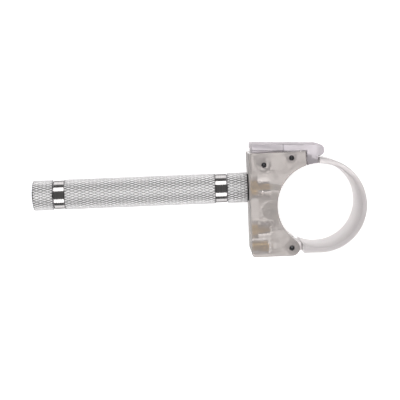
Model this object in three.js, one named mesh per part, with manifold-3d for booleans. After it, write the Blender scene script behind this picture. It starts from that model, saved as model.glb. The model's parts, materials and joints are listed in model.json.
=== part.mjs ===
// Ring-clamp glass cutter: a knurled oil-reservoir handle, a clear two-shell head with a
// half-round seat, a hinged strap that closes the ring round a glass tube or bottle neck,
// a sprung latch lever, and a sprung cutting wheel that meets the glass in the seat.
//
// Millimetres. The tool lies on the back face of its head. +X runs from the handle to the
// ring, +Y from the hinge to the latch, +Z is the ring's axis. Everything is drawn about the
// ring's centre, and the whole group is then moved so that the origin is the middle of the
// tool's footprint.
import * as THREE from 'three';
import { mergeVertices } from 'three/addons/utils/BufferGeometryUtils.js';
import Module from 'manifold-3d';

const wasm = await Module();
wasm.setup();

// ---- driving dimensions -------------------------------------------------------------

const DEPTH = 32;
const RING_R = 17.4;
const STRAP_T = 2.2;
const HANDLE_R = 6.5;
const NECK_R = 6.0;
const HANDLE_Y = 7.7;

const HEAD_LEFT = -28.65;
const HEAD_RIGHT = -4.95;
const HEAD_TOP = 22.6;
const HEAD_WALL = 2.6;
const SIDE_WALL = 1.3;
const EDGE_ROUND = 0.45;

const HINGE = { x: -12.1, y: -17.2 };
const LATCH_PIVOT = { x: -11.0, y: 20.1 };
const SPRING_POST = { x: -22.5, y: 17.6 };
const EAR_R = 3.3;
const PIN_R = 1.05;
const PIN_RECESS = 0.4;

const WHEEL_R = 2.9;
const WHEEL_Y = -2.0;
const WHEEL_PROUD = 0.6;
const CARRIAGE_TRAVEL = 1.0;

// End of each stretch of the handle, counted leftwards from the head.
const COLLAR_END = -37.75;
const FRONT_NECK_END = -42.7;
const GRIP_END = -106.4;
const REAR_NECK_END = -111.15;
const CAP_END = -120.3;

// ---- clearances and shared places ---------------------------------------------------

const GAP = 0.1;
const PART_GAP = 0.3;
const RUN = 0.08;
const MID = DEPTH / 2;
const STRAP_R = RING_R + STRAP_T;
const HINGE_BOTTOM = HINGE.y - EAR_R;
const WHEEL_X = -RING_R + WHEEL_PROUD - WHEEL_R;
const PIN_HOLE_R = PIN_R + RUN;

// ---- solids ---------------------------------------------------------------------------

// Six times the volume that the faces enclose, negative when they point inwards.
function signedVolume(positions, index) {
  const [a, b, c] = [new THREE.Vector3(), new THREE.Vector3(), new THREE.Vector3()];
  let total = 0;
  for (let i = 0; i < index.length; i += 3) {
    a.fromArray(positions, 3 * index[i]);
    b.fromArray(positions, 3 * index[i + 1]);
    c.fromArray(positions, 3 * index[i + 2]);
    total += a.dot(b.cross(c));
  }
  return total;
}

// Turn a closed three.js geometry into a manifold solid whose faces point outwards.
function solid(geometry) {
  geometry.deleteAttribute('normal');
  geometry.deleteAttribute('uv');
  const merged = mergeVertices(geometry, 1e-4);
  const positions = merged.attributes.position.array;
  const triangles = [];
  for (let i = 0; i < merged.index.count; i += 3) {
    const [a, b, c] = [0, 1, 2].map((k) => merged.index.getX(i + k));
    if (a !== b && b !== c && c !== a) triangles.push(a, b, c);
  }
  if (signedVolume(positions, triangles) < 0) triangles.reverse();
  const mesh = new wasm.Mesh({
    numProp: 3,
    vertProperties: new Float32Array(positions),
    triVerts: new Uint32Array(triangles),
  });
  return new wasm.Manifold(mesh);
}

const union = (first, ...others) => others.reduce((sum, other) => sum.add(other), first);
const cut = (first, ...others) => others.reduce((rest, other) => rest.subtract(other), first);

function box(x0, x1, y0, y1, z0, z1) {
  const geometry = new THREE.BoxGeometry(x1 - x0, y1 - y0, z1 - z0);
  return solid(geometry.translate((x0 + x1) / 2, (y0 + y1) / 2, (z0 + z1) / 2));
}

// Round bar along Z.
function rodZ({ x, y }, radius, z0, z1, sides = 32) {
  const geometry = new THREE.CylinderGeometry(radius, radius, z1 - z0, sides);
  return solid(geometry.rotateX(Math.PI / 2).translate(x, y, (z0 + z1) / 2));
}

// Round bar along X at height y, at mid-depth unless told otherwise.
function rodX(y, radius, x0, x1, sides = 32, z = MID) {
  const geometry = new THREE.CylinderGeometry(radius, radius, x1 - x0, sides);
  return solid(geometry.rotateZ(-Math.PI / 2).translate((x0 + x1) / 2, y, z));
}

// Body of revolution about a line along X at height y: the profile is [x, radius] pairs.
function turnedX(y, profile, sides = 40) {
  const points = profile.map(([x, radius]) => new THREE.Vector2(radius, x));
  points.push(points[0].clone());
  const geometry = new THREE.LatheGeometry(points, sides);
  return solid(geometry.rotateZ(-Math.PI / 2).translate(0, y, MID));
}

const at = (x, y) => new THREE.Vector2(x, y);

// Points along a circular arc, angles in degrees, both ends included.
function arc(centre, radius, from, to, steps) {
  return Array.from({ length: steps + 1 }, (_, i) => {
    const angle = THREE.MathUtils.degToRad(from + ((to - from) * i) / steps);
    return at(centre.x + radius * Math.cos(angle), centre.y + radius * Math.sin(angle));
  });
}

const RING_CENTRE = { x: 0, y: 0 };
const angleAtX = (radius, x) => THREE.MathUtils.radToDeg(Math.acos(x / radius));

// Straight extrusion of an outline, with rounded rims when edge is given.
function slab(points, z0, z1, edge = 0) {
  const geometry = new THREE.ExtrudeGeometry(new THREE.Shape(points), {
    depth: z1 - z0 - 2 * edge,
    steps: 1,
    bevelEnabled: edge > 0,
    bevelThickness: edge,
    bevelSize: edge,
    bevelOffset: -edge,
    bevelSegments: 2,
  });
  return solid(geometry.translate(0, 0, z0 + edge));
}

// Wire of a given radius along a list of points.
function wire(points, radius, steps) {
  const path = new THREE.CatmullRomCurve3(points);
  const section = new THREE.Shape(arc(RING_CENTRE, radius, 0, 300, 5));
  const geometry = new THREE.ExtrudeGeometry(section, { steps, extrudePath: path });
  return solid(geometry);
}

// ---- materials and assembly -----------------------------------------------------------

const LOOKS = {
  shell: { color: 0xb8b5b2, roughness: 0.45, metalness: 0, opacity: 0.6, transparent: true },
  latch: { color: 0xbfbac0, roughness: 0.4, metalness: 0, opacity: 0.7, transparent: true },
  strap: { color: 0xcfc9cc, roughness: 0.4, metalness: 0, opacity: 0.7, transparent: true },
  aluminium: { color: 0xc9cacc, roughness: 0.35, metalness: 0.95 },
  steel: { color: 0x8f9094, roughness: 0.25, metalness: 1 },
  carbide: { color: 0x6f7176, roughness: 0.3, metalness: 0.9 },
  acetal: { color: 0xe8e6e1, roughness: 0.5, metalness: 0 },
  brass: { color: 0xc79a55, roughness: 0.3, metalness: 0.9 },
  rubber: { color: 0x1c1c1e, roughness: 0.85, metalness: 0 },
  felt: { color: 0xe6e0d2, roughness: 0.95, metalness: 0 },
};

const tool = new THREE.Group();

// Name a finished solid, give it its material and add it to the tool.
function place(name, body, look) {
  const { vertProperties, triVerts } = body.getMesh();
  const geometry = new THREE.BufferGeometry();
  geometry.setAttribute('position', new THREE.BufferAttribute(vertProperties, 3));
  geometry.setIndex(new THREE.BufferAttribute(triVerts, 1));
  geometry.computeVertexNormals();
  const mesh = new THREE.Mesh(geometry, new THREE.MeshStandardMaterial(LOOKS[look]));
  mesh.name = name;
  tool.add(mesh);
}

// ---- brass inserts, trapped between the shells ------------------------------------------

const LIP = 0.7;
const INSERT_BACK = HEAD_LEFT + LIP + GAP;
const FLANGE_FRONT = -25.1;
const STEM_FRONT = -20.8;
const PORTS = {
  handle: { y: HANDLE_Y, flangeR: 4.75, stemR: 2.0 },
  spare: { y: -9.9, flangeR: 3.8, stemR: 1.9 },
};
const STUD_R = 2.5;
const THREAD_END = -25.6;
const PASSAGE_R = 1.1;
const PORT_BORE_R = 1.25;
const ACCESSORY = { y: -16.9, radius: 2.45, front: -21.3, boreR: 1.3, boreEnd: -23.2 };

function portInsert({ y, flangeR, stemR }) {
  return turnedX(y, [
    [INSERT_BACK, STUD_R + RUN],
    [INSERT_BACK, flangeR],
    [FLANGE_FRONT, flangeR],
    [FLANGE_FRONT, stemR],
    [STEM_FRONT, stemR],
    [STEM_FRONT, PASSAGE_R],
    [THREAD_END, PASSAGE_R],
    [THREAD_END, STUD_R + RUN],
  ], 32);
}

// Room in the head for a port insert, its stud and the passage on to the seat.
function portPocket({ y, flangeR, stemR }) {
  return union(
    rodX(y, STUD_R + PART_GAP, HEAD_LEFT - 1, INSERT_BACK),
    rodX(y, flangeR + GAP, INSERT_BACK - GAP, FLANGE_FRONT + GAP),
    rodX(y, stemR + GAP, FLANGE_FRONT, STEM_FRONT + GAP, 24),
    rodX(y, PORT_BORE_R, STEM_FRONT, -RING_R / 2, 16),
  );
}

function accessoryInsert() {
  const { y, radius, front, boreR, boreEnd } = ACCESSORY;
  return turnedX(y, [
    [INSERT_BACK, boreR],
    [INSERT_BACK, radius],
    [front, radius],
    [front, 0],
    [boreEnd, 0],
    [boreEnd, boreR],
  ], 32);
}

function accessoryPocket() {
  const { y, radius, front } = ACCESSORY;
  return union(
    rodX(y, 1.7, HEAD_LEFT - 1, INSERT_BACK, 24),
    rodX(y, radius + GAP, INSERT_BACK - GAP, front + GAP),
  );
}

// ---- cutting wheel, its carriage and springs ---------------------------------------------

const CARRIAGE_R = 3.9;
const CARRIAGE_HALF = 3.4;
const CARRIAGE_FRONT = -17.7;
const WHEEL_T = 1.5;
const AXLE_R = 0.7;
const SLIDE_GAP = 0.25;
const WING = { back: -18.9, y0: 2.5, y1: 7.0, z0: 2.3, z1: 6.9 };
const SPRING = { y: 5.4, z: 4.9, coilR: 1.2, wireR: 0.2, turns: 5, seat: -24.8 };

// The two wings lie on opposite corners of the carriage, so the pair of springs pushes
// evenly. side is -1 for the lower front corner and +1 for the upper back one.
function wingBlock(side, grow, back, front) {
  const ys = [side * (WING.y0 - grow), side * (WING.y1 + grow)].sort((a, b) => a - b);
  const zs = [-side * (WING.z0 - grow), -side * (WING.z1 + grow)].sort((a, b) => a - b);
  return box(back, front, WHEEL_Y + ys[0], WHEEL_Y + ys[1], MID + zs[0], MID + zs[1]);
}

// Flat-fronted block with a round back, drawn about the wheel's centre.
function carriageOutline(radius, backShift, front) {
  const round = arc({ x: WHEEL_X - backShift, y: WHEEL_Y }, radius, 90, 270, 20);
  return [at(front, WHEEL_Y + radius), ...round, at(front, WHEEL_Y - radius)];
}

function wheelCarriage() {
  const body = union(
    slab(carriageOutline(CARRIAGE_R, 0, CARRIAGE_FRONT), MID - CARRIAGE_HALF, MID + CARRIAGE_HALF),
    wingBlock(-1, 0, WING.back, CARRIAGE_FRONT),
    wingBlock(1, 0, WING.back, CARRIAGE_FRONT),
  );
  const slotHalf = WHEEL_T / 2 + PART_GAP;
  const slotBack = WHEEL_X - WHEEL_R - PART_GAP;
  const slotY = CARRIAGE_R + 1;
  return cut(
    body,
    box(slotBack, 0, WHEEL_Y - slotY, WHEEL_Y + slotY, MID - slotHalf, MID + slotHalf),
    rodZ({ x: WHEEL_X, y: WHEEL_Y }, AXLE_R + RUN, 0, DEPTH, 24),
  );
}

function carriagePocket() {
  const shift = CARRIAGE_TRAVEL;
  const half = CARRIAGE_HALF + SLIDE_GAP;
  return union(
    slab(carriageOutline(CARRIAGE_R + SLIDE_GAP, shift, 0), MID - half, MID + half),
    wingBlock(-1, SLIDE_GAP, SPRING.seat, CARRIAGE_FRONT + PART_GAP),
    wingBlock(1, SLIDE_GAP, SPRING.seat, CARRIAGE_FRONT + PART_GAP),
  );
}

function cuttingWheel() {
  const bore = AXLE_R + RUN;
  const half = WHEEL_T / 2;
  const profile = [
    at(bore, -half),
    at(WHEEL_R - half, -half),
    at(WHEEL_R, 0),
    at(WHEEL_R - half, half),
    at(bore, half),
    at(bore, -half),
  ];
  const geometry = new THREE.LatheGeometry(profile, 40);
  return solid(geometry.rotateX(Math.PI / 2).translate(WHEEL_X, WHEEL_Y, MID));
}

function carriageSpring(side) {
  const start = SPRING.seat + PART_GAP + SPRING.wireR;
  const end = WING.back - PART_GAP - SPRING.wireR;
  const perTurn = 8;
  const count = SPRING.turns * perTurn;
  const points = Array.from({ length: count + 1 }, (_, i) => {
    const angle = (2 * Math.PI * i) / perTurn;
    return new THREE.Vector3(
      start + ((end - start) * i) / count,
      WHEEL_Y + side * SPRING.y + SPRING.coilR * Math.cos(angle),
      MID - side * SPRING.z + SPRING.coilR * Math.sin(angle),
    );
  });
  return wire(points, SPRING.wireR, count);
}

// ---- head shells ---------------------------------------------------------------------------

const SLOT = { left: -15.75, top: -13.4, z0: 8, z1: DEPTH - 8 };
const SEAT_END_ANGLE = 226.5;
const POCKET_FLOOR = 13.8;
const WINDOW = { left: -7.0, bottom: 18.2, top: 22.2, wall: 1.2 };
const SEAT_WALL = 2.0;
const POST_BOSS_R = 3.2;
const POST_BOSS_END = 12.2;
const PEGS = [{ x: -17.4, y: 12.0 }, { x: -19.0, y: -12.9 }];
const PEG_R = 0.8;
const PEG_LENGTH = 2.0;
const LIGHTENING = { x0: -20.0, x1: -17.2, y0: -18.9, y1: -14.6 };

function headOutline() {
  const corner = 1.4;
  const bottomLeft = { x: HEAD_LEFT + corner, y: HINGE_BOTTOM + corner };
  const topLeft = { x: HEAD_LEFT + 0.5, y: HEAD_TOP - 0.5 };
  const seatTop = angleAtX(RING_R, HEAD_RIGHT);
  return [
    ...arc(bottomLeft, corner, 180, 270, 5),
    ...arc(HINGE, EAR_R, 270, 405, 16),
    ...arc(RING_CENTRE, RING_R, SEAT_END_ANGLE, seatTop, 28),
    at(HEAD_RIGHT, HEAD_TOP),
    ...arc(topLeft, 0.5, 90, 180, 3),
  ];
}

// Hollow in the top of the head for the lever's web and spring, open upwards and to the
// right. The front and back walls are thinned beside the hook.
function latchPocket() {
  const over = HEAD_TOP + 5;
  const wallR = RING_R + SEAT_WALL;
  const floorAngle = 180 - THREE.MathUtils.radToDeg(Math.asin(POCKET_FLOOR / wallR));
  const outline = [
    at(HEAD_LEFT + SIDE_WALL, over),
    at(HEAD_LEFT + SIDE_WALL, POCKET_FLOOR),
    ...arc(RING_CENTRE, wallR, floorAngle, 100, 16),
    at(0, over),
  ];
  const z0 = HEAD_WALL;
  const z1 = DEPTH - HEAD_WALL;
  return union(
    slab(outline, z0, z1),
    box(WINDOW.left, 0, WINDOW.bottom, WINDOW.top, WINDOW.wall, DEPTH - WINDOW.wall),
  );
}

function headBlock() {
  const { x0, x1, y0, y1 } = LIGHTENING;
  const hollowed = cut(
    slab(headOutline(), 0, DEPTH, EDGE_ROUND),
    latchPocket(),
    box(SLOT.left, 0, -DEPTH, SLOT.top, SLOT.z0, SLOT.z1),
    box(x0, x1, y0, y1, HEAD_WALL, DEPTH - HEAD_WALL),
    carriagePocket(),
    portPocket(PORTS.handle),
    portPocket(PORTS.spare),
    accessoryPocket(),
  );
  const bossed = union(
    hollowed,
    rodZ(SPRING_POST, POST_BOSS_R, HEAD_WALL - 0.5, POST_BOSS_END),
    rodZ(SPRING_POST, POST_BOSS_R, DEPTH - POST_BOSS_END, DEPTH - HEAD_WALL + 0.5),
  );
  const holes = [HINGE, LATCH_PIVOT, SPRING_POST];
  return cut(bossed, ...holes.map((hole) => rodZ(hole, PIN_HOLE_R, -1, DEPTH + 1, 24)));
}

// The head parts at mid-depth. Pegs on the front shell enter sockets in the back one.
function headShells() {
  const block = headBlock();
  const far = 60;
  const backHalf = box(-far, far, -far, far, -1, MID - GAP / 2);
  const frontHalf = box(-far, far, -far, far, MID + GAP / 2, DEPTH + 1);
  const pegs = PEGS.map((peg) => rodZ(peg, PEG_R, MID - PEG_LENGTH, MID + 1, 16));
  const sockets = PEGS.map((peg) => (
    rodZ(peg, PEG_R + GAP, MID - PEG_LENGTH - GAP, MID + 1, 16)
  ));
  place('head_front_shell', union(block.intersect(frontHalf), ...pegs), 'shell');
  place('head_back_shell', cut(block.intersect(backHalf), ...sockets), 'shell');
}

// ---- strap -----------------------------------------------------------------------------------

const STRAP_TOP_X = 0.45;
const STRAP_END_X = -7.6;
const KNUCKLE_R = 2.9;
const KNUCKLE_GAP = 0.3;
const TONGUE_HALF = 7.0;
const TONGUE_R = 18.9;
const TONGUE_END_X = -4.4;
const TOOTH_FRONT_X = -2.6;
const CATCH_R = 38.05;

// Y of a circle about the hinge, above the given x.
const catchY = (x, radius) => HINGE.y + Math.sqrt(radius ** 2 - (x - HINGE.x) ** 2);

function strap() {
  const innerEnd = 360 - angleAtX(RING_R, STRAP_END_X);
  const innerTop = angleAtX(RING_R, STRAP_TOP_X);
  const outerTop = angleAtX(STRAP_R, STRAP_TOP_X);
  const band = slab([
    ...arc(RING_CENTRE, RING_R, innerTop + 360, innerEnd, 44),
    at(STRAP_END_X, -STRAP_R + 0.6),
    at(STRAP_END_X + 0.5, -STRAP_R + 0.05),
    ...arc(RING_CENTRE, STRAP_R, 268, 360 + outerTop, 44),
  ], 0, DEPTH, 0.35);
  const overlap = 1.5;
  const neck = slab([
    at(HINGE.x, HINGE.y + KNUCKLE_R),
    ...arc(HINGE, KNUCKLE_R, 90, 270, 16).slice(1),
    at(STRAP_END_X + overlap, -STRAP_R + 0.7),
    at(STRAP_END_X + overlap, -RING_R * Math.sin(THREE.MathUtils.degToRad(innerEnd - 180)) - 0.9),
    at(STRAP_END_X - 0.6, -15.75),
  ], SLOT.z0 + KNUCKLE_GAP, SLOT.z1 - KNUCKLE_GAP);
  const tongueEnd = angleAtX(RING_R, TONGUE_END_X);
  const z0 = MID - TONGUE_HALF;
  const z1 = MID + TONGUE_HALF;
  const tongue = slab([
    ...arc(RING_CENTRE, RING_R, innerTop - 3, tongueEnd, 6),
    at(TONGUE_END_X, catchY(TONGUE_END_X, CATCH_R)),
    at((TONGUE_END_X + TOOTH_FRONT_X) / 2, catchY((TONGUE_END_X + TOOTH_FRONT_X) / 2, CATCH_R)),
    at(TOOTH_FRONT_X, catchY(TOOTH_FRONT_X, CATCH_R)),
    ...arc(RING_CENTRE, TONGUE_R, angleAtX(TONGUE_R, TOOTH_FRONT_X), innerTop - 3, 5),
  ], z0, z1);
  const bore = rodZ(HINGE, PIN_HOLE_R, -1, DEPTH + 1, 24);
  return cut(union(band, neck, tongue), bore);
}

// ---- latch lever --------------------------------------------------------------------------------

const LATCH_LEFT = -27.3;
const LATCH_TOP = 26.5;
const LATCH_SLOPE = THREE.MathUtils.degToRad(2.3);
const BLOCK_LEFT = -13.7;
const BLOCK_BOTTOM = 22.85;
const TAB_BOTTOM = { left: 23.7, right: 23.2 };
const RIB = { left: -26.9, bottom: 22.2, inset: HEAD_WALL + 0.4 };
const HOOK_LEFT = -4.6;
const HOOK_RIGHT = -0.15;
const NOSE = { x: 0.25, y: 22.95 };
const NOSE_R = 2.45;
const WEB_R = 2.5;

const latchTop = (x) => LATCH_TOP - (x - LATCH_LEFT) * Math.tan(LATCH_SLOPE);

// Clamping block, nose and hook, seen along Z. The hook reaches down to the ring.
function latchBlockOutline() {
  const ringR = RING_R + 0.05;
  return [
    at(BLOCK_LEFT, BLOCK_BOTTOM),
    at(HOOK_LEFT, BLOCK_BOTTOM),
    ...arc(RING_CENTRE, ringR, angleAtX(ringR, HOOK_LEFT), angleAtX(ringR, HOOK_RIGHT), 5),
    at(HOOK_RIGHT, NOSE.y - NOSE_R),
    ...arc(NOSE, NOSE_R, 270, 450, 18),
    at(BLOCK_LEFT, latchTop(BLOCK_LEFT)),
  ];
}

function latchLever() {
  const tabRound = 0.9;
  const tabCorner = { x: LATCH_LEFT + tabRound, y: LATCH_TOP - tabRound };
  const tabEnd = BLOCK_LEFT + 2;
  const tab = slab([
    at(LATCH_LEFT, TAB_BOTTOM.left),
    at(tabEnd, TAB_BOTTOM.right),
    at(tabEnd, latchTop(tabEnd)),
    ...arc(tabCorner, tabRound, 90, 180, 5),
  ], 0, DEPTH, EDGE_ROUND);
  const rib = box(
    RIB.left, tabEnd, RIB.bottom, TAB_BOTTOM.left + 0.5, RIB.inset, DEPTH - RIB.inset,
  );
  const web = slab([
    at(LATCH_PIVOT.x - WEB_R, BLOCK_BOTTOM + 1),
    ...arc(LATCH_PIVOT, WEB_R, 180, 360, 20),
    at(LATCH_PIVOT.x + WEB_R, BLOCK_BOTTOM + 1),
  ], RIB.inset, DEPTH - RIB.inset);
  const channelR = CATCH_R + PART_GAP;
  const x0 = HOOK_LEFT - 1;
  const x1 = HOOK_RIGHT + 1;
  const tongueChannel = slab([
    at(x0, RING_R - 3),
    at(x1, RING_R - 3),
    at(x1, catchY(x1, channelR)),
    at((x0 + x1) / 2, catchY((x0 + x1) / 2, channelR)),
    at(x0, catchY(x0, channelR)),
  ], MID - TONGUE_HALF - PART_GAP, MID + TONGUE_HALF + PART_GAP);
  const toothRoom = box(
    x0, TOOTH_FRONT_X + 0.4, RING_R, 21.2,
    MID - TONGUE_HALF - PART_GAP, MID + TONGUE_HALF + PART_GAP,
  );
  return cut(
    union(slab(latchBlockOutline(), 0, DEPTH, EDGE_ROUND), tab, rib, web),
    tongueChannel,
    toothRoom,
    rodZ(LATCH_PIVOT, PIN_HOLE_R, -1, DEPTH + 1, 24),
  );
}

// Torsion spring on its post: one leg lifts the thumb tab, the other rests on the floor.
function latchSpring() {
  const coilR = 2.0;
  const wireR = 0.35;
  const turns = 5;
  const perTurn = 10;
  const half = 2.6;
  const from = 1.25 * Math.PI;
  const count = turns * perTurn;
  const upLeg = [
    new THREE.Vector3(-26.0, 21.5, MID - half),
    new THREE.Vector3(-25.2, 19.6, MID - half),
  ];
  const coil = Array.from({ length: count + 1 }, (_, i) => {
    const angle = from + (2 * Math.PI * i) / perTurn;
    return new THREE.Vector3(
      SPRING_POST.x + coilR * Math.cos(angle),
      SPRING_POST.y + coilR * Math.sin(angle),
      MID - half + (2 * half * (i + 1)) / (count + 2),
    );
  });
  const downLeg = [
    new THREE.Vector3(-20.9, 15.1, MID + half),
    new THREE.Vector3(-17.2, 14.5, MID + half),
  ];
  return wire([...upLeg, ...coil, ...downLeg], wireR, count + 12);
}

// ---- handle ------------------------------------------------------------------------------------------

const CHAMFER = 0.45;
const RESERVOIR_R = 5.1;
const FRONT_PLUG = 8;
const SEAL_T = 0.3;
const CAP_SPIGOT = { radius: 4.9, end: REAR_NECK_END + 6, grooveR: 4.2 };
const CAP_HOLLOW_R = 3.4;

function frontCollar() {
  const front = HEAD_LEFT - 2 * GAP - SEAL_T;
  const bore = STUD_R + RUN;
  return turnedX(HANDLE_Y, [
    [COLLAR_END + GAP, bore],
    [COLLAR_END + GAP, HANDLE_R - CHAMFER],
    [COLLAR_END + GAP + CHAMFER, HANDLE_R],
    [front - CHAMFER, HANDLE_R],
    [front, HANDLE_R - CHAMFER],
    [front, bore],
  ]);
}

function collarSeal() {
  return turnedX(HANDLE_Y, [
    [HEAD_LEFT - GAP - SEAL_T, STUD_R + PART_GAP],
    [HEAD_LEFT - GAP - SEAL_T, HANDLE_R - 0.8],
    [HEAD_LEFT - GAP, HANDLE_R - 0.8],
    [HEAD_LEFT - GAP, STUD_R + PART_GAP],
  ]);
}

// Hollow threaded stud that joins the handle to the head and passes the oil.
function couplingStud() {
  return turnedX(HANDLE_Y, [
    [COLLAR_END - FRONT_PLUG, PASSAGE_R],
    [COLLAR_END - FRONT_PLUG, STUD_R],
    [THREAD_END - GAP, STUD_R],
    [THREAD_END - GAP, PASSAGE_R],
  ], 24);
}

function handleBarrel() {
  return turnedX(HANDLE_Y, [
    [REAR_NECK_END + GAP, RESERVOIR_R],
    [REAR_NECK_END + GAP, NECK_R],
    [GRIP_END, NECK_R],
    [GRIP_END, HANDLE_R - CHAMFER],
    [GRIP_END + CHAMFER, HANDLE_R],
    [FRONT_NECK_END - CHAMFER, HANDLE_R],
    [FRONT_NECK_END, HANDLE_R - CHAMFER],
    [FRONT_NECK_END, NECK_R],
    [COLLAR_END, NECK_R],
    [COLLAR_END, STUD_R + RUN],
    [COLLAR_END - FRONT_PLUG, STUD_R + RUN],
    [COLLAR_END - FRONT_PLUG, RESERVOIR_R],
  ]);
}

function endCap() {
  const { radius, end, grooveR } = CAP_SPIGOT;
  const face = REAR_NECK_END;
  return turnedX(HANDLE_Y, [
    [CAP_END, 0],
    [CAP_END, HANDLE_R - 2 * CHAMFER],
    [CAP_END + 2 * CHAMFER, HANDLE_R],
    [face - CHAMFER, HANDLE_R],
    [face, HANDLE_R - CHAMFER],
    [face, radius],
    [face + 0.5, radius],
    [face + 0.5, grooveR],
    [face + 1.7, grooveR],
    [face + 1.7, radius],
    [end, radius],
    [end, CAP_HOLLOW_R],
    [CAP_END + 2, CAP_HOLLOW_R],
    [CAP_END + 2, 0],
  ]);
}

function capSeal() {
  const { grooveR } = CAP_SPIGOT;
  const cordR = (RESERVOIR_R - grooveR) / 2 - 0.05;
  const middleR = (RESERVOIR_R + grooveR) / 2;
  const geometry = new THREE.TorusGeometry(middleR, cordR, 6, 30);
  return solid(geometry.rotateY(Math.PI / 2).translate(REAR_NECK_END + 1.1, HANDLE_Y, MID));
}

// Cotton wick from the reservoir, through stud and insert, to just short of the seat.
function feedWick() {
  const seatX = -Math.sqrt(RING_R ** 2 - HANDLE_Y ** 2);
  return rodX(HANDLE_Y, 0.8, COLLAR_END - FRONT_PLUG - 14, seatX - 0.6, 16);
}

// ---- the tool --------------------------------------------------------------------------------------------

headShells();
place('handle_insert', portInsert(PORTS.handle), 'brass');
place('spare_port_insert', portInsert(PORTS.spare), 'brass');
place('accessory_insert', accessoryInsert(), 'brass');

const pins = { hinge_pin: HINGE, latch_pivot_pin: LATCH_PIVOT, spring_post_pin: SPRING_POST };
for (const [name, centre] of Object.entries(pins)) {
  place(name, rodZ(centre, PIN_R, PIN_RECESS, DEPTH - PIN_RECESS, 24), 'steel');
}

place('wheel_carriage', wheelCarriage(), 'acetal');
place('cutting_wheel', cuttingWheel(), 'carbide');
const axle = rodZ({ x: WHEEL_X, y: WHEEL_Y }, AXLE_R, MID - 3.3, MID + 3.3, 24);
place('wheel_axle', axle, 'steel');
place('carriage_spring_lower', carriageSpring(-1), 'steel');
place('carriage_spring_upper', carriageSpring(1), 'steel');

place('strap', strap(), 'strap');
place('latch_lever', latchLever(), 'latch');
place('latch_spring', latchSpring(), 'steel');

place('front_collar', frontCollar(), 'aluminium');
place('collar_seal', collarSeal(), 'rubber');
place('coupling_stud', couplingStud(), 'steel');
place('handle_barrel', handleBarrel(), 'aluminium');
place('end_cap', endCap(), 'aluminium');
place('cap_seal', capSeal(), 'rubber');
place('feed_wick', feedWick(), 'felt');

// Middle of the footprint to the origin; the back face is already at z = 0.
tool.position.set(-(CAP_END + STRAP_R) / 2, -(HINGE_BOTTOM + LATCH_TOP) / 2, 0);

export default tool;
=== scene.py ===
"""Ring-clamp glass cutter: the looks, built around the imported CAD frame.

Lengths are in metres. The tool lies on its back: +X runs from handle to ring, +Y from the
strap hinge to the latch, and +Z out of the front face.
"""
import json
import math

import bmesh
import bpy
from mathutils import Matrix, Vector


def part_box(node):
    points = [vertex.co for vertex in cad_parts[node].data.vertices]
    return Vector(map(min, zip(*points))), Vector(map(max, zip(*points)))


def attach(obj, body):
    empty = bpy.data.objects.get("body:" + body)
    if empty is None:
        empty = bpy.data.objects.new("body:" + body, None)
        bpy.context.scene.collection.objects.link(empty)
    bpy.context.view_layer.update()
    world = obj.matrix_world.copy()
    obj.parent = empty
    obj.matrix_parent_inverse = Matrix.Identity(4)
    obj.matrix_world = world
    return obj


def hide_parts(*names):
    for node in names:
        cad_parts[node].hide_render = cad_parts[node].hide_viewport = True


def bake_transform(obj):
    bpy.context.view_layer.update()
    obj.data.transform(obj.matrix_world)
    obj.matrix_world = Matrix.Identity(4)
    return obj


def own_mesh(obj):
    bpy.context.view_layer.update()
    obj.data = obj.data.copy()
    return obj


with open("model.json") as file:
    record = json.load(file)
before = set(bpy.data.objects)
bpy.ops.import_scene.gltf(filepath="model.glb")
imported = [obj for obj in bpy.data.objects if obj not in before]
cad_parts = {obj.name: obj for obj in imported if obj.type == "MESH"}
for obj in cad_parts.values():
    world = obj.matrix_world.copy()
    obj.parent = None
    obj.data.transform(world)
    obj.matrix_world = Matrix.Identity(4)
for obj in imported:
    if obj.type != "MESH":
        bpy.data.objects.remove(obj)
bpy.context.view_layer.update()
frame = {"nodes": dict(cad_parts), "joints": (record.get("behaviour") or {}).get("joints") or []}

MM = 0.001
NODES = frame["nodes"]
JOINTS = {joint["name"]: joint for joint in frame["joints"]}


def centre_of(node):
    low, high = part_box(node)
    return (low + high) / 2


# ---- places read from the frame -----------------------------------------------------------

HEAD_LOW, HEAD_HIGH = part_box("head_front_shell")
BARREL_LOW, BARREL_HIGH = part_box("handle_barrel")
STRAP_LOW, STRAP_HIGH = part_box("strap")
DEPTH = HEAD_HIGH.z
MID_Z = DEPTH / 2
AXIS_Y = centre_of("handle_barrel").y
HANDLE_R = (BARREL_HIGH.y - BARREL_LOW.y) / 2
HINGE = Vector(JOINTS["strap_swing"]["pos_m"])
PIVOT = Vector(JOINTS["latch_tilt"]["pos_m"])


# ---- sizes --------------------------------------------------------------------------------

RING_R = 17.4 * MM
STRAP_R = 19.6 * MM
RING_CENTRE = Vector((STRAP_HIGH.x - STRAP_R, STRAP_LOW.y + STRAP_R, MID_Z))
HINGE_EAR = 4 * MM              # how far the ear reaches above the hinge

KNURL_DEPTH = 0.25 * MM
KNURL_PITCH = 3.14 * MM
KNURLS_AROUND = 34
KNURL_STEPS = 6                 # rows and columns of points in one knurl
COLUMNS = KNURL_STEPS * KNURLS_AROUND
CREST_START = 0.5               # where the flat starts, from 0 in a groove to 1 between two
GROOVE_R = HANDLE_R - KNURL_DEPTH
BRIGHT_R = HANDLE_R - 0.4 * KNURL_DEPTH     # from here out a crest has its full painted light; nearer the groove, painted shade
PLAIN_R = GROOVE_R - 0.05 * MM  # the plain edges beside the knurl
NECK_R = HANDLE_R - 0.5 * MM
STUD_BORE_R = 2.6 * MM

SHADE_LINE_X = PIVOT.x - 3.3 * MM     # painted shade: a dark line across the latch, between the tab and the block
SHADE_LINE_HALF_WIDTH = 0.15 * MM
SHADE_LINE_EDGE = 0.4 * MM            # where the darkness beside it ends
SHADE_LINE_SHARE = 0.55               # the painted shade's colour, as a share of the plastic's own

SHELL_ROUNDING = 0.12 * MM
STRAP_ROUNDING = 0.1 * MM
LATCH_ROUNDING = 0.15 * MM

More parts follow.
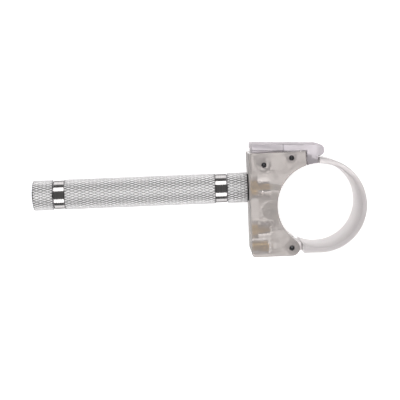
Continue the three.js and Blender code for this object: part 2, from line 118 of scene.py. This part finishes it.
CLEAR_FADE = 0.9 * MM           # from clear over an insert to milky
CLEAR_OVER = (("handle_insert", 1.5 * MM), ("spare_port_insert", 1.5 * MM),
              ("accessory_insert", 0), ("carriage_spring_lower", 0))


# ---- node materials -----------------------------------------------------------------------

class Nodes:
    """A material's node tree with short calls to add and join nodes."""

    def __init__(self, name):
        self.material = bpy.data.materials.new(name)
        self.material.use_nodes = True
        self.tree = self.material.node_tree
        self.shader = self.tree.nodes["Principled BSDF"]
        self.coords = self.tree.nodes.new("ShaderNodeTexCoord").outputs["Object"]

    def put(self, socket, value):
        if isinstance(value, bpy.types.NodeSocket):
            self.tree.links.new(value, socket)
        else:
            socket.default_value = value

    def set(self, **values):
        for name, value in values.items():
            self.put(self.shader.inputs[name.replace("_", " ")], value)

    def operate(self, kind, operation, values):
        node = self.tree.nodes.new(kind)
        node.operation = operation
        for socket, value in zip(node.inputs, values):
            self.put(socket, value)
        return node.outputs

    def math(self, operation, *values):
        return self.operate("ShaderNodeMath", operation, values)["Value"]

    def vector_math(self, operation, *values):
        outputs = self.operate("ShaderNodeVectorMath", operation, values)
        return outputs["Value" if operation == "LENGTH" else "Vector"]

    def distance(self, point, directions):
        """Distance from a point, counted only along the directions that are 1."""
        offset = self.vector_math("SUBTRACT", self.coords, point)
        return self.vector_math("LENGTH", self.vector_math("MULTIPLY", offset, directions))

    def parts(self, vector):
        node = self.tree.nodes.new("ShaderNodeSeparateXYZ")
        self.put(node.inputs["Vector"], vector)
        return node.outputs

    def noise(self, scale, detail=3.0, stretch=(1, 1, 1)):
        """Noise that is drawn out along the directions of small stretch."""
        node = self.tree.nodes.new("ShaderNodeTexNoise")
        self.put(node.inputs["Vector"], self.vector_math("MULTIPLY", self.coords, stretch))
        node.inputs["Scale"].default_value = scale
        node.inputs["Detail"].default_value = detail
        return node.outputs["Fac"]

    def remap(self, value, low, high, start=0.0, end=1.0):
        """The value's stretch from start to end, turned into low to high."""
        node = self.tree.nodes.new("ShaderNodeMapRange")
        for name, given in (("Value", value), ("From Min", start), ("From Max", end),
                            ("To Min", low), ("To Max", high)):
            self.put(node.inputs[name], given)
        return node.outputs["Result"]

    def blend(self, factor, first, second):
        node = self.tree.nodes.new("ShaderNodeMix")
        node.data_type = "RGBA"
        self.put(node.inputs["Factor"], factor)
        self.put(node.inputs["A"], first)
        self.put(node.inputs["B"], second)
        return node.outputs["Result"]

    def bump(self, height, distance, strength):
        node = self.tree.nodes.new("ShaderNodeBump")
        node.inputs["Strength"].default_value = strength
        node.inputs["Distance"].default_value = distance
        self.put(node.inputs["Height"], height)
        self.put(self.shader.inputs["Normal"], node.outputs["Normal"])


def rgb(red, green, blue):
    return (red, green, blue, 1.0)


def clearer_over(n, places, clear, milky):
    """A share that is clear over some nodes, seen along Z, and milky elsewhere.

    places is a list of (node, trim), where trim is how far in from the node's Y limits it
    counts.
    """
    nearest = None
    for node, trim in places:
        low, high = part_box(node)
        low, high = low + Vector((0, trim, 0)), high - Vector((0, trim, 0))
        from_middle = n.vector_math("SUBTRACT", n.coords, (low + high) / 2)
        apart = n.vector_math("ABSOLUTE", from_middle)
        beyond = n.parts(n.vector_math("SUBTRACT", apart, (high - low) / 2))
        farthest = n.math("MAXIMUM", beyond["X"], beyond["Y"])
        nearest = farthest if nearest is None else n.math("MINIMUM", nearest, farthest)
    return n.remap(nearest, clear, milky, end=CLEAR_FADE)


def frosted_plastic(name, tint, cloud, roughness, transmission, over=None, shade_line_x=None):
    """Milky moulded acrylic: light passes through it blurred, and a fine frost roughens it.

    over is what its transmission rises to at the places in CLEAR_OVER. At the X given
    last, a thin dark line of painted shade crosses it.
    """
    n = Nodes(name)
    flow = n.noise(scale=90, detail=4.0, stretch=(1, 1, 0.4))
    colour = n.blend(flow, rgb(*tint), rgb(*cloud))
    # painted shade: a thin dark line across the plastic at the given X
    if shade_line_x:
        apart = n.distance((shade_line_x, 0, 0), directions=(1, 0, 0))
        darkness = n.remap(apart, 1, 0, start=SHADE_LINE_HALF_WIDTH, end=SHADE_LINE_EDGE)
        colour = n.blend(darkness, colour, rgb(*(SHADE_LINE_SHARE * channel for channel in tint)))
    if over:
        transmission = clearer_over(n, CLEAR_OVER, over, transmission)
    smoothest, roughest = roughness - 0.04, roughness + 0.05
    n.set(
        Base_Color=colour,
        Roughness=n.remap(n.noise(scale=700), smoothest, roughest),
        Transmission_Weight=transmission,
        IOR=1.49,
    )
    n.bump(n.noise(scale=2600, detail=2.0), distance=0.01 * MM, strength=0.4)
    return n.material


def machined_metal(name, colour, shade, roughness, streaks=(1, 1, 1), scale=900, edge=1.0,
                   bare=1.0):
    """Metal with fine tool marks, drawn out along the directions of small stretch.

    edge dulls the glancing reflections; the last argument is the metallic share.
    """
    n = Nodes(name)
    marks = n.noise(scale, detail=4.0, stretch=streaks)
    polish = n.noise(scale / 3, detail=2.0, stretch=streaks)
    smoothest, roughest = roughness * 0.8, roughness * 1.3
    n.set(
        Base_Color=n.blend(marks, rgb(*colour), rgb(*shade)),
        Metallic=bare,
        Roughness=n.remap(polish, smoothest, roughest),
        Specular_Tint=rgb(edge, edge, edge),
    )
    n.bump(marks, distance=0.004 * MM, strength=0.4)
    return n.material


def ring_marked_metal(name, colour, shade, roughness, **finish):
    """Metal turned on a lathe about X, so that its marks run round it."""
    return machined_metal(
        name, colour, shade, roughness, streaks=(1, 0.02, 0.02), scale=2600, **finish)


def knurled_aluminium(name):
    """Anodised knurl with painted light and shade: crests are painted near white and a little
    worn, groove bottoms dull and painted near black.
    """
    n = Nodes(name)
    radius = n.distance((0, AXIS_Y, MID_Z), directions=(0, 1, 1))
    height = n.remap(radius, 0, 1, start=GROOVE_R, end=BRIGHT_R)
    grime = n.noise(scale=260, detail=4.0)
    # painted light on the crests and painted shade in the grooves, blended by height
    crest = n.blend(grime, rgb(0.99, 0.975, 0.98), rgb(0.95, 0.935, 0.94))
    groove = rgb(0.04, 0.038, 0.038)
    n.set(
        Base_Color=n.blend(height, groove, crest),
        Metallic=0.5,
        Roughness=n.remap(height, 0.5, 0.3),
        Specular_Tint=rgb(0.6, 0.6, 0.6),
    )
    n.bump(n.noise(scale=3200, detail=2.0), distance=0.006 * MM, strength=0.5)
    return n.material


def rubber(name):
    """Black nitrile with a greyish bloom."""
    n = Nodes(name)
    bloom = n.noise(scale=800)
    n.set(
        Base_Color=n.blend(bloom, rgb(0.012, 0.012, 0.013), rgb(0.03, 0.03, 0.032)),
        Roughness=n.remap(bloom, 0.6, 0.85),
    )
    n.bump(n.noise(scale=2400), distance=0.02 * MM, strength=0.5)
    return n.material


def acetal(name):
    """Natural white acetal, milled: a soft sheen with a faint grain."""
    n = Nodes(name)
    grain = n.noise(scale=500)
    n.set(
        Base_Color=n.blend(grain, rgb(0.86, 0.85, 0.82), rgb(0.80, 0.79, 0.76)),
        Roughness=n.remap(grain, 0.42, 0.56),
    )
    n.bump(n.noise(scale=2000), distance=0.008 * MM, strength=0.5)
    return n.material


def felt(name):
    """Unbleached cotton, with its fibres along X."""
    n = Nodes(name)
    fibres = n.noise(scale=2200, detail=4.0, stretch=(0.25, 1, 1))
    n.set(
        Base_Color=n.blend(fibres, rgb(0.86, 0.82, 0.73), rgb(0.66, 0.61, 0.52)),
        Roughness=0.95,
        Sheen_Weight=0.4,
    )
    n.bump(fibres, distance=0.08 * MM, strength=0.9)
    return n.material


LOOKS = {
    "shell": frosted_plastic(
        "frosted_shell", tint=(0.95, 0.885, 0.86), cloud=(0.90, 0.84, 0.815),
        roughness=0.14, transmission=0.58, over=0.68),
    # textured faces, with painted shade: the left, bottom and ear faces are a darker copy of the
    # shell plastic
    "side": frosted_plastic(
        "textured_side_painted_shade", tint=(0.52, 0.49, 0.48), cloud=(0.46, 0.435, 0.425),
        roughness=0.75, transmission=0.25),
    # painted shade: the face that lies on the floor is a much darker copy of the shell plastic
    "back": frosted_plastic(
        "frosted_back_painted_shade", tint=(0.28, 0.265, 0.26), cloud=(0.24, 0.23, 0.225),
        roughness=0.35, transmission=0.12),
    "bore": frosted_plastic(
        "smooth_bore", tint=(0.97, 0.94, 0.92), cloud=(0.93, 0.90, 0.88),
        roughness=0.1, transmission=0.7, over=0.97),
    "latch": frosted_plastic(
        "frosted_latch", tint=(0.66, 0.62, 0.65), cloud=(0.62, 0.58, 0.61),
        roughness=0.2, transmission=0.42, shade_line_x=SHADE_LINE_X),
    # clearer plastic and painted light: faces in the gap under the tab are a near-white copy of
    # the latch plastic, lifting the shade there
    "latch_gap": frosted_plastic(
        "latch_gap_painted_light", tint=(0.97, 0.94, 0.96), cloud=(0.94, 0.91, 0.93),
        roughness=0.15, transmission=0.92),
    "latch_side": frosted_plastic(
        "textured_latch", tint=(0.66, 0.615, 0.645), cloud=(0.60, 0.56, 0.585),
        roughness=0.75, transmission=0.3),
    "strap": frosted_plastic(
        "frosted_strap", tint=(0.86, 0.82, 0.82), cloud=(0.80, 0.765, 0.765),
        roughness=0.3, transmission=0.42),
    "knurl": knurled_aluminium("knurled_aluminium"),
    "polished": ring_marked_metal(
        "polished_aluminium", (0.74, 0.715, 0.71), (0.42, 0.405, 0.41), 0.13, edge=0.1),
    "turned": ring_marked_metal(
        "turned_aluminium", (0.86, 0.86, 0.88), (0.76, 0.76, 0.79), 0.25),
    # painted light: the brass is mostly non-metallic and bright yellow, so that it stays bright
    # inside the dim head
    "brass": ring_marked_metal(
        "turned_brass", (1.0, 0.72, 0.24), (0.96, 0.64, 0.19), 0.34, bare=0.3),
    # painted shade: steel much darker than bare steel, so that the pin ends look dark
    "steel": machined_metal("pin_steel_painted_shade", (0.26, 0.26, 0.27), (0.20, 0.20, 0.21), 0.2),
    "spring": machined_metal("spring_steel", (0.86, 0.86, 0.88), (0.74, 0.74, 0.76), 0.3),
    "carbide": machined_metal("wheel_carbide", (0.36, 0.36, 0.38), (0.28, 0.28, 0.3), 0.3),
    "acetal": acetal("natural_acetal"),
    "rubber": rubber("seal_rubber"),
    "felt": felt("cotton_wick"),
}


# ---- mesh helpers -------------------------------------------------------------------------

def finish_piece(piece, looks, body, slot, *nodes):
    """Give a new piece its materials and body, and hide the CAD nodes that it stands for. slot
    is not used.
    """
    for look in looks:
        piece.data.materials.append(LOOKS[look])
    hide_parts(*nodes)
    if body:
        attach(piece, body)


def new_piece(name, builder, smooth_angle=35):
    """Object from a bmesh, smooth except across edges sharper than smooth_angle degrees."""
    mesh = bpy.data.meshes.new(name)
    bmesh.ops.recalc_face_normals(builder, faces=builder.faces)
    builder.to_mesh(mesh)
    builder.free()
    mesh.shade_smooth()
    mesh.set_sharp_from_angle(angle=math.radians(smooth_angle))
    piece = bpy.data.objects.new(name, mesh)
    bpy.context.scene.collection.objects.link(piece)
    return piece


def turned(name, rows, columns, place, knurl_start=0):
    """Closed body of revolution.

    rows is a list of (distance along the axis, radius, material index), where radius may be
    a function of the row and column; place turns (along, radius, angle) into a point. A
    radius of 0 closes the body on its axis. Knurled faces are split along the grooves,
    which are counted from row knurl_start.
    """
    builder = bmesh.new()
    rings = []
    for index, (along, radius, _) in enumerate(rows):
        ring = []
        for column in range(columns if radius else 1):
            r = radius(index, column) if callable(radius) else radius
            ring.append(builder.verts.new(place(along, r, 2 * math.pi * column / columns)))
        rings.append(ring)
    hollow = rows[0][1] != 0
    for row in range(len(rows) if hollow else len(rows) - 1):
        following = (row + 1) % len(rows)
        first, second = rings[row], rings[following]
        knurled = callable(rows[row][1]) and callable(rows[following][1])
        for column in range(columns):
            after = (column + 1) % columns
            if len(first) == 1:
                corners = [(first[0], second[after], second[column])]
            elif len(second) == 1:
                corners = [(first[column], first[after], second[0])]
            elif not knurled:
                corners = [(first[column], first[after], second[after], second[column])]
            elif (row - knurl_start + column + 1) % KNURL_STEPS == 0:
                corners = [(first[column], first[after], second[column]),
                           (first[after], second[after], second[column])]
            else:
                corners = [(first[column], first[after], second[after]),
                           (first[column], second[after], second[column])]
            for points in corners:
                builder.faces.new(points).material_index = rows[row][2]
    return new_piece(name, builder, smooth_angle=40)


# ---- knurled handle -----------------------------------------------------------------------

KNURLED, SMOOTH = 0, 1          # indices of a knurled piece's two materials


def knurled_body(name, before, start, end, after):
    """Body of revolution about the handle's axis, with a diamond knurl from start to end.

    Two families of grooves cross. The crests between them are flat, and the height is
    halved at both ends so that the knurl runs out into a clean rim.
    """
    count = round((end - start) / (KNURL_PITCH / KNURL_STEPS))
    first = len(before)

    def radius_of(index, column):
        step = index - first
        from_grooves = []
        for lean in ((step + column) / KNURL_STEPS, (step - column) / KNURL_STEPS):
            from_grooves.append(2 * abs(lean - round(lean)))
        height = min(min(from_grooves) / CREST_START, 1.0)
        if step in (0, count):
            height /= 2
        return HANDLE_R - KNURL_DEPTH * (1 - height)

    def place(along, radius, angle):
        return (along, AXIS_Y + radius * math.cos(angle), MID_Z + radius * math.sin(angle))

    rows = [(start + (end - start) * i / count, radius_of, KNURLED) for i in range(count + 1)]
    return turned(name, before + rows + after, COLUMNS, place, knurl_start=first)


def handle_barrel():
    """Tube with a long knurled grip, and a polished neck at each end."""
    rear, front = BARREL_LOW.x, BARREL_HIGH.x
    grip_start = rear + 4.65 * MM
    grip_end = front - 4.95 * MM
    bore_r, front_wall, rim = 5.1 * MM, 8 * MM, 0.3 * MM
    chamfer, groove = 0.35 * MM, 0.12 * MM
    before = [
        (front - front_wall, bore_r, SMOOTH),
        (rear, bore_r, SMOOTH),
        (rear, NECK_R - rim, SMOOTH),
        (rear + rim, NECK_R, SMOOTH),
        (grip_start - 2 * groove, NECK_R, SMOOTH),
        (grip_start - groove, NECK_R - groove, SMOOTH),
        (grip_start, NECK_R - groove, SMOOTH),
        (grip_start, PLAIN_R, KNURLED),
    ]
    after = [
        (grip_end, PLAIN_R, SMOOTH),
        (grip_end, NECK_R - groove, SMOOTH),
        (grip_end + groove, NECK_R - groove, SMOOTH),
        (grip_end + 2 * groove, NECK_R, SMOOTH),
        (front - rim, NECK_R, SMOOTH),
        (front, NECK_R - rim, SMOOTH),
        (front, STUD_BORE_R, SMOOTH),
        (front - front_wall, STUD_BORE_R, SMOOTH),
    ]
    piece = knurled_body("barrel", before, grip_start + chamfer, grip_end - chamfer, after)
    finish_piece(piece, ("knurl", "polished"), "head", "aluminium", "handle_barrel")


def front_collar():
    """Short knurled lock ring against the head."""
    low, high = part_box("front_collar")
    rear, front = low.x, high.x
    chamfer, rim = 0.2 * MM, 0.1 * MM
    before = [
        (rear, STUD_BORE_R, SMOOTH),
        (rear, PLAIN_R - chamfer, SMOOTH),
        (rear + rim, PLAIN_R, KNURLED),
    ]
    after = [
        (front - rim, PLAIN_R, SMOOTH),
        (front, PLAIN_R - chamfer, SMOOTH),
        (front, STUD_BORE_R, SMOOTH),
    ]
    piece = knurled_body("collar", before, rear + chamfer, front - chamfer, after)
    finish_piece(piece, ("knurl", "turned"), "collar", "aluminium", "front_collar")


def end_cap():
    """Knurled cap with a dimpled end, and a hollow spigot with a groove for its seal."""
    low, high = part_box("end_cap")
    rear, tip = low.x, high.x
    gap = 0.1 * MM
    face = BARREL_LOW.x - gap
    dimple_depth, lip_depth = 0.35 * MM, 0.05 * MM
    dimple_r, lip_r, flat_r = 1.6 * MM, 2.1 * MM, 2.6 * MM
    edge, edge_r = 0.25 * MM, HANDLE_R - 0.65 * MM
    back_r = HANDLE_R - 1.1 * MM
    chamfer, rear_rim, front_rim, knurl_rear = 0.35 * MM, 0.6 * MM, 0.1 * MM, 0.85 * MM
    spigot_r, groove_r, hollow_r = 4.9 * MM, 4.2 * MM, 3.4 * MM
    groove_start, groove_end = face + 0.5 * MM, face + 1.7 * MM
    hollow_floor = rear + 2 * MM
    before = [
        (rear + dimple_depth, 0, SMOOTH),
        (rear + dimple_depth, dimple_r, SMOOTH),
        (rear + lip_depth, lip_r, SMOOTH),
        (rear, flat_r, SMOOTH),
        (rear, back_r, SMOOTH),
        (rear + edge, edge_r, SMOOTH),
        (rear + rear_rim, PLAIN_R, KNURLED),
    ]
    after = [
        (face - front_rim, PLAIN_R, SMOOTH),
        (face, PLAIN_R - chamfer, SMOOTH),
        (face, spigot_r, SMOOTH),
        (groove_start, spigot_r, SMOOTH),
        (groove_start, groove_r, SMOOTH),
        (groove_end, groove_r, SMOOTH),
        (groove_end, spigot_r, SMOOTH),
        (tip, spigot_r, SMOOTH),
        (tip, hollow_r, SMOOTH),
        (hollow_floor, hollow_r, SMOOTH),
        (hollow_floor, 0, SMOOTH),
    ]
    piece = knurled_body("cap", before, rear + knurl_rear, face - chamfer, after)
    finish_piece(piece, ("knurl", "turned"), "cap", "aluminium", "end_cap")


# ---- pins and springs ---------------------------------------------------------------------

def cross_pin(name, node):
    """Dowel pin with rounded rims and a centre-drilled dimple in each end."""
    low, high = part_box(node)
    middle = centre_of(node)
    radius = (high.x - low.x) / 2
    rim, dimple_r, dimple_depth = 0.2 * MM, 0.45 * MM, 0.35 * MM
    shoulder = 0.3 * rim
    columns = 40
    end_rows = [
        (dimple_depth, 0),
        (0, dimple_r),
        (0, radius - rim),
        (shoulder, radius - shoulder),
        (rim, radius),
    ]
    rows = [(low.z + inset, r, 0) for inset, r in end_rows]
    rows += [(high.z - inset, r, 0) for inset, r in reversed(end_rows)]

    def place(along, r, angle):
        return (middle.x + r * math.cos(angle), middle.y + r * math.sin(angle), along)

    piece = turned(name, rows, columns, place)
    finish_piece(piece, ("steel",), "head", "steel", node)


def wire(name, path, radius, sides=12):
    """Round wire along a list of points, with flat ends."""
    builder = bmesh.new()
    rings = []
    normal = None
    for index, point in enumerate(path):
        ahead = path[min(index + 1, len(path) - 1)]
        behind = path[max(index - 1, 0)]
        tangent = (ahead - behind).normalized()
        if normal is None:
            normal = tangent.orthogonal().normalized()
        normal = (normal - tangent * normal.dot(tangent)).normalized()
        side = tangent.cross(normal)
        ring = []
        for k in range(sides):
            angle = 2 * math.pi * k / sides
            offset = normal * math.cos(angle) + side * math.sin(angle)
            ring.append(builder.verts.new(point + offset * radius))
        rings.append(ring)
    for first, second in zip(rings, rings[1:]):
        for k in range(sides):
            after = (k + 1) % sides
            builder.faces.new((first[k], first[after], second[after], second[k]))
    builder.faces.new(rings[0])
    builder.faces.new(rings[-1])
    return new_piece(name, builder, smooth_angle=50)


def carriage_spring(name, node):
    """Compression spring along X, with its end and middle turns drawn closer together."""
    low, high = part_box(node)
    middle = centre_of(node)
    wire_r = 0.2 * MM
    coil_r = (high.y - low.y) / 2 - wire_r
    start, end = low.x + wire_r, high.x - wire_r
    turns, per_turn, closing = 6, 28, 0.35
    count = turns * per_turn
    path = []
    for i in range(count + 1):
        t = i / count
        eased = t - math.sin(4 * math.pi * t) / (4 * math.pi) * closing
        angle = 2 * math.pi * i / per_turn
        path.append(Vector((start + (end - start) * eased,
                            middle.y + coil_r * math.cos(angle),
                            middle.z + coil_r * math.sin(angle))))
    piece = wire(name, path, wire_r)
    finish_piece(piece, ("spring",), "head", "spring_steel", node)
    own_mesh(piece)


def spring_leg(tip, root, neighbour):
    """Points from the tip to the coil's end, bending into the coil's own direction there."""
    steps, bend_length = 12, 1.6 * MM
    bend = root + (root - neighbour).normalized() * bend_length
    points = []
    for i in range(steps):
        t = i / steps
        points.append(tip * (1 - t) ** 2 + bend * 2 * t * (1 - t) + root * t ** 2)
    return points


def latch_spring():
    """Torsion spring on its post. One leg bears on the thumb tab."""
    post = centre_of("spring_post_pin")
    coil_r, wire_r, half = 2.0 * MM, 0.35 * MM, 2.6 * MM
    turns, per_turn = 5, 32
    start_angle = 1.25 * math.pi
    up_tip = Vector((post.x - 3.5 * MM, post.y + 3.9 * MM, MID_Z - half))
    down_tip = Vector((post.x + 5.3 * MM, post.y - 3.1 * MM, MID_Z + half))
    count = turns * per_turn
    coil = []
    for i in range(count + 1):
        angle = start_angle + 2 * math.pi * i / per_turn
        coil.append(Vector((post.x + coil_r * math.cos(angle),
                            post.y + coil_r * math.sin(angle),
                            MID_Z - half + 2 * half * i / count)))
    path = spring_leg(up_tip, coil[0], coil[1]) + coil
    path += reversed(spring_leg(down_tip, coil[-1], coil[-2]))
    piece = wire("torsion_spring", path, wire_r)
    finish_piece(piece, ("spring",), None, "spring_steel", "latch_spring")
    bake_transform(piece)


# ---- clear plastic ------------------------------------------------------------------------

SKIN = 0.3 * MM                 # a face nearer than this to the outside belongs to it
MERGED = 0.002 * MM             # points nearer than this become one
FLAT_ANGLE = math.radians(0.6)  # faces that meet at less than this become one
SHARP_ANGLE = math.radians(50)  # edges sharper than this are rounded over
FACING = 0.5                    # a face looks along an axis if its normal's part there is more


def head_look(face):
    """The look of one face of the head, by the side that it is on."""
    middle = face.calc_center_median()
    from_ring = math.hypot(middle.x - RING_CENTRE.x, middle.y - RING_CENTRE.y)
    on_front = middle.z > DEPTH - SKIN
    on_seat = from_ring < RING_R + SKIN
    on_top = middle.y > HEAD_HIGH.y - SKIN
    on_left_or_bottom = middle.x < HEAD_LOW.x + SKIN or middle.y < HEAD_LOW.y + SKIN
    on_ear = middle.x > HINGE.x + SKIN and middle.y < HINGE.y + HINGE_EAR
    # the face on the floor takes the copy with painted shade
    if middle.z < SKIN:
        return "back"
    if on_front or on_seat or on_top:
        return "shell"
    # left, bottom and ear faces take the rougher copy with painted shade
    return "side" if on_left_or_bottom or on_ear else "bore"


def latch_look(face):
    """The look of one face of the latch, by the way that it faces."""
    beyond_pivot = face.calc_center_median().x > PIVOT.x
    # faces into the gap under the tab take the lighter copy with painted light
    if face.normal.y < -FACING or (face.normal.x < -FACING and beyond_pivot):
        return "latch_gap"
    return "latch_side" if face.normal.y > FACING or face.normal.x < -FACING else "latch"


def softened(name, node, looks, body, slot, rounding, look_of=None):
    """The CAD node's shape with its moulded edges rounded over.

    look_of picks one of the looks for each face.
    """
    builder = bmesh.new()
    builder.from_mesh(NODES[node].data)
    bmesh.ops.remove_doubles(builder, verts=builder.verts, dist=MERGED)
    bmesh.ops.dissolve_limit(
        builder, angle_limit=FLAT_ANGLE, verts=builder.verts, edges=builder.edges)
    sharp = [edge for edge in builder.edges
             if len(edge.link_faces) == 2 and edge.calc_face_angle(0) > SHARP_ANGLE]
    bmesh.ops.bevel(builder, geom=sharp, offset=rounding, segments=2, profile=0.5,
                    affect="EDGES", clamp_overlap=True)
    bmesh.ops.triangulate(builder, faces=builder.faces)
    if look_of:
        for face in builder.faces:
            face.normal_update()
            face.material_index = looks.index(look_of(face))
    piece = new_piece(name, builder, smooth_angle=32)
    finish_piece(piece, looks, body, slot, node)


# ---- camera, floor and light --------------------------------------------------------------

SENSOR = 36.0                           # millimetres, as Blender counts it
VIEW_WIDTH = 169.92 * MM                # how much the view takes in at its target
VIEW_HEIGHT = 3.225 * VIEW_WIDTH        # above the tool's mid-depth
VIEW_ROLL = math.radians(2.3)
VIEW_FOOT = Vector((0.55, 42.2, 0)) * MM
VIEW_TARGET = Vector((0.98, 0.05, 16)) * MM
NEAREST_SEEN = 10 * MM

FLOOR_HALF = 3.0
POOL_INNER = 0.125
POOL_OUTER = 0.16
POOL_GLOW = 0.75

STRIP_SIZE = (1.5, 0.36)
STRIP_POWER = 3.9                       # watts
STRIP_REACH = 0.7
STRIP_LEAN = math.radians(48)
DOME_STRENGTH = 0.12


def camera():
    """Camera high above VIEW_FOOT, on the latch's side, that looks at VIEW_TARGET."""
    data = bpy.data.cameras.new("camera")
    obj = bpy.data.objects.new("camera", data)
    bpy.context.scene.collection.objects.link(obj)
    position = Vector((VIEW_FOOT.x, VIEW_FOOT.y, MID_Z + VIEW_HEIGHT))
    back = (position - VIEW_TARGET).normalized()
    up = Vector((math.sin(VIEW_ROLL), math.cos(VIEW_ROLL), 0))
    right = up.cross(back).normalized()
    up = back.cross(right)
    obj.matrix_world = Matrix((
        (right.x, up.x, back.x, position.x),
        (right.y, up.y, back.y, position.y),
        (right.z, up.z, back.z, position.z),
        (0, 0, 0, 1),
    ))
    data.sensor_width = SENSOR
    data.lens = SENSOR * (position - VIEW_TARGET).length / VIEW_WIDTH
    data.clip_start = NEAREST_SEEN
    bpy.context.scene.camera = obj


def floor():
    """Pale floor that glows round the tool, and fades from POOL_INNER to POOL_OUTER."""
    n = Nodes("pale_floor")
    distance = n.vector_math("LENGTH", n.coords)
    n.set(
        Base_Color=n.blend(n.noise(scale=30), rgb(0.93, 0.93, 0.93), rgb(0.91, 0.91, 0.91)),
        Roughness=0.8,
        Emission_Color=rgb(1, 1, 1),
        Emission_Strength=n.remap(distance, POOL_GLOW, 0, start=POOL_INNER, end=POOL_OUTER),
    )
    builder = bmesh.new()
    bmesh.ops.create_grid(builder, x_segments=1, y_segments=1, size=FLOOR_HALF)
    plane = new_piece("floor", builder)
    plane.data.materials.append(n.material)


def strip_light(name, place):
    """Long area light that looks at the tool from the given place."""
    data = bpy.data.lights.new(name, "AREA")
    data.shape = "RECTANGLE"
    data.size, data.size_y = STRIP_SIZE
    data.energy = STRIP_POWER
    obj = bpy.data.objects.new(name, data)
    bpy.context.scene.collection.objects.link(obj)
    obj.location = place
    obj.rotation_euler = (Vector() - place).to_track_quat("-Z", "Y").to_euler()


def lighting():
    """Two long strips beside the tool, STRIP_LEAN off the vertical, under a dim dome."""
    height = STRIP_REACH * math.cos(STRIP_LEAN)
    aside = STRIP_REACH * math.sin(STRIP_LEAN)
    strip_light("strip_latch_side", Vector((0, aside, height)))
    strip_light("strip_hinge_side", Vector((0, -aside, height)))
    world = bpy.data.worlds.new("studio")
    bpy.context.scene.world = world
    world.use_nodes = True
    background = world.node_tree.nodes["Background"]
    background.inputs["Color"].default_value = rgb(1, 1, 1)
    background.inputs["Strength"].default_value = DOME_STRENGTH
    bpy.context.scene.view_settings.view_transform = "Standard"


# ---- assembly -----------------------------------------------------------------------------

camera()
floor()
lighting()

handle_barrel()
front_collar()
end_cap()
for pin in ("hinge_pin", "latch_pivot_pin", "spring_post_pin"):
    cross_pin(pin.replace("_pin", "_dowel"), pin)
carriage_spring("lower_coil", "carriage_spring_lower")
carriage_spring("upper_coil", "carriage_spring_upper")
latch_spring()

HEAD_LOOKS = ("shell", "side", "back", "bore")
LATCH_LOOKS = ("latch", "latch_gap", "latch_side")
for shell in ("front_shell", "back_shell"):
    softened(
        shell, "head_" + shell, HEAD_LOOKS, "head", "shell_plastic", SHELL_ROUNDING, head_look)
softened("ring_strap", "strap", ("strap",), "strap", "strap_plastic", STRAP_ROUNDING)
softened(
    "lever", "latch_lever", LATCH_LOOKS, "latch", "latch_plastic", LATCH_ROUNDING, latch_look)

CAD_LOOKS = {
    "handle_insert": "brass",
    "spare_port_insert": "brass",
    "accessory_insert": "brass",
    "wheel_carriage": "acetal",
    "wheel_axle": "steel",
    "cutting_wheel": "carbide",
    "coupling_stud": "steel",
    "collar_seal": "rubber",
    "cap_seal": "rubber",
    "feed_wick": "felt",
}
for node, look in CAD_LOOKS.items():
    data = NODES[node].data
    data.materials.clear()
    data.materials.append(LOOKS[look])
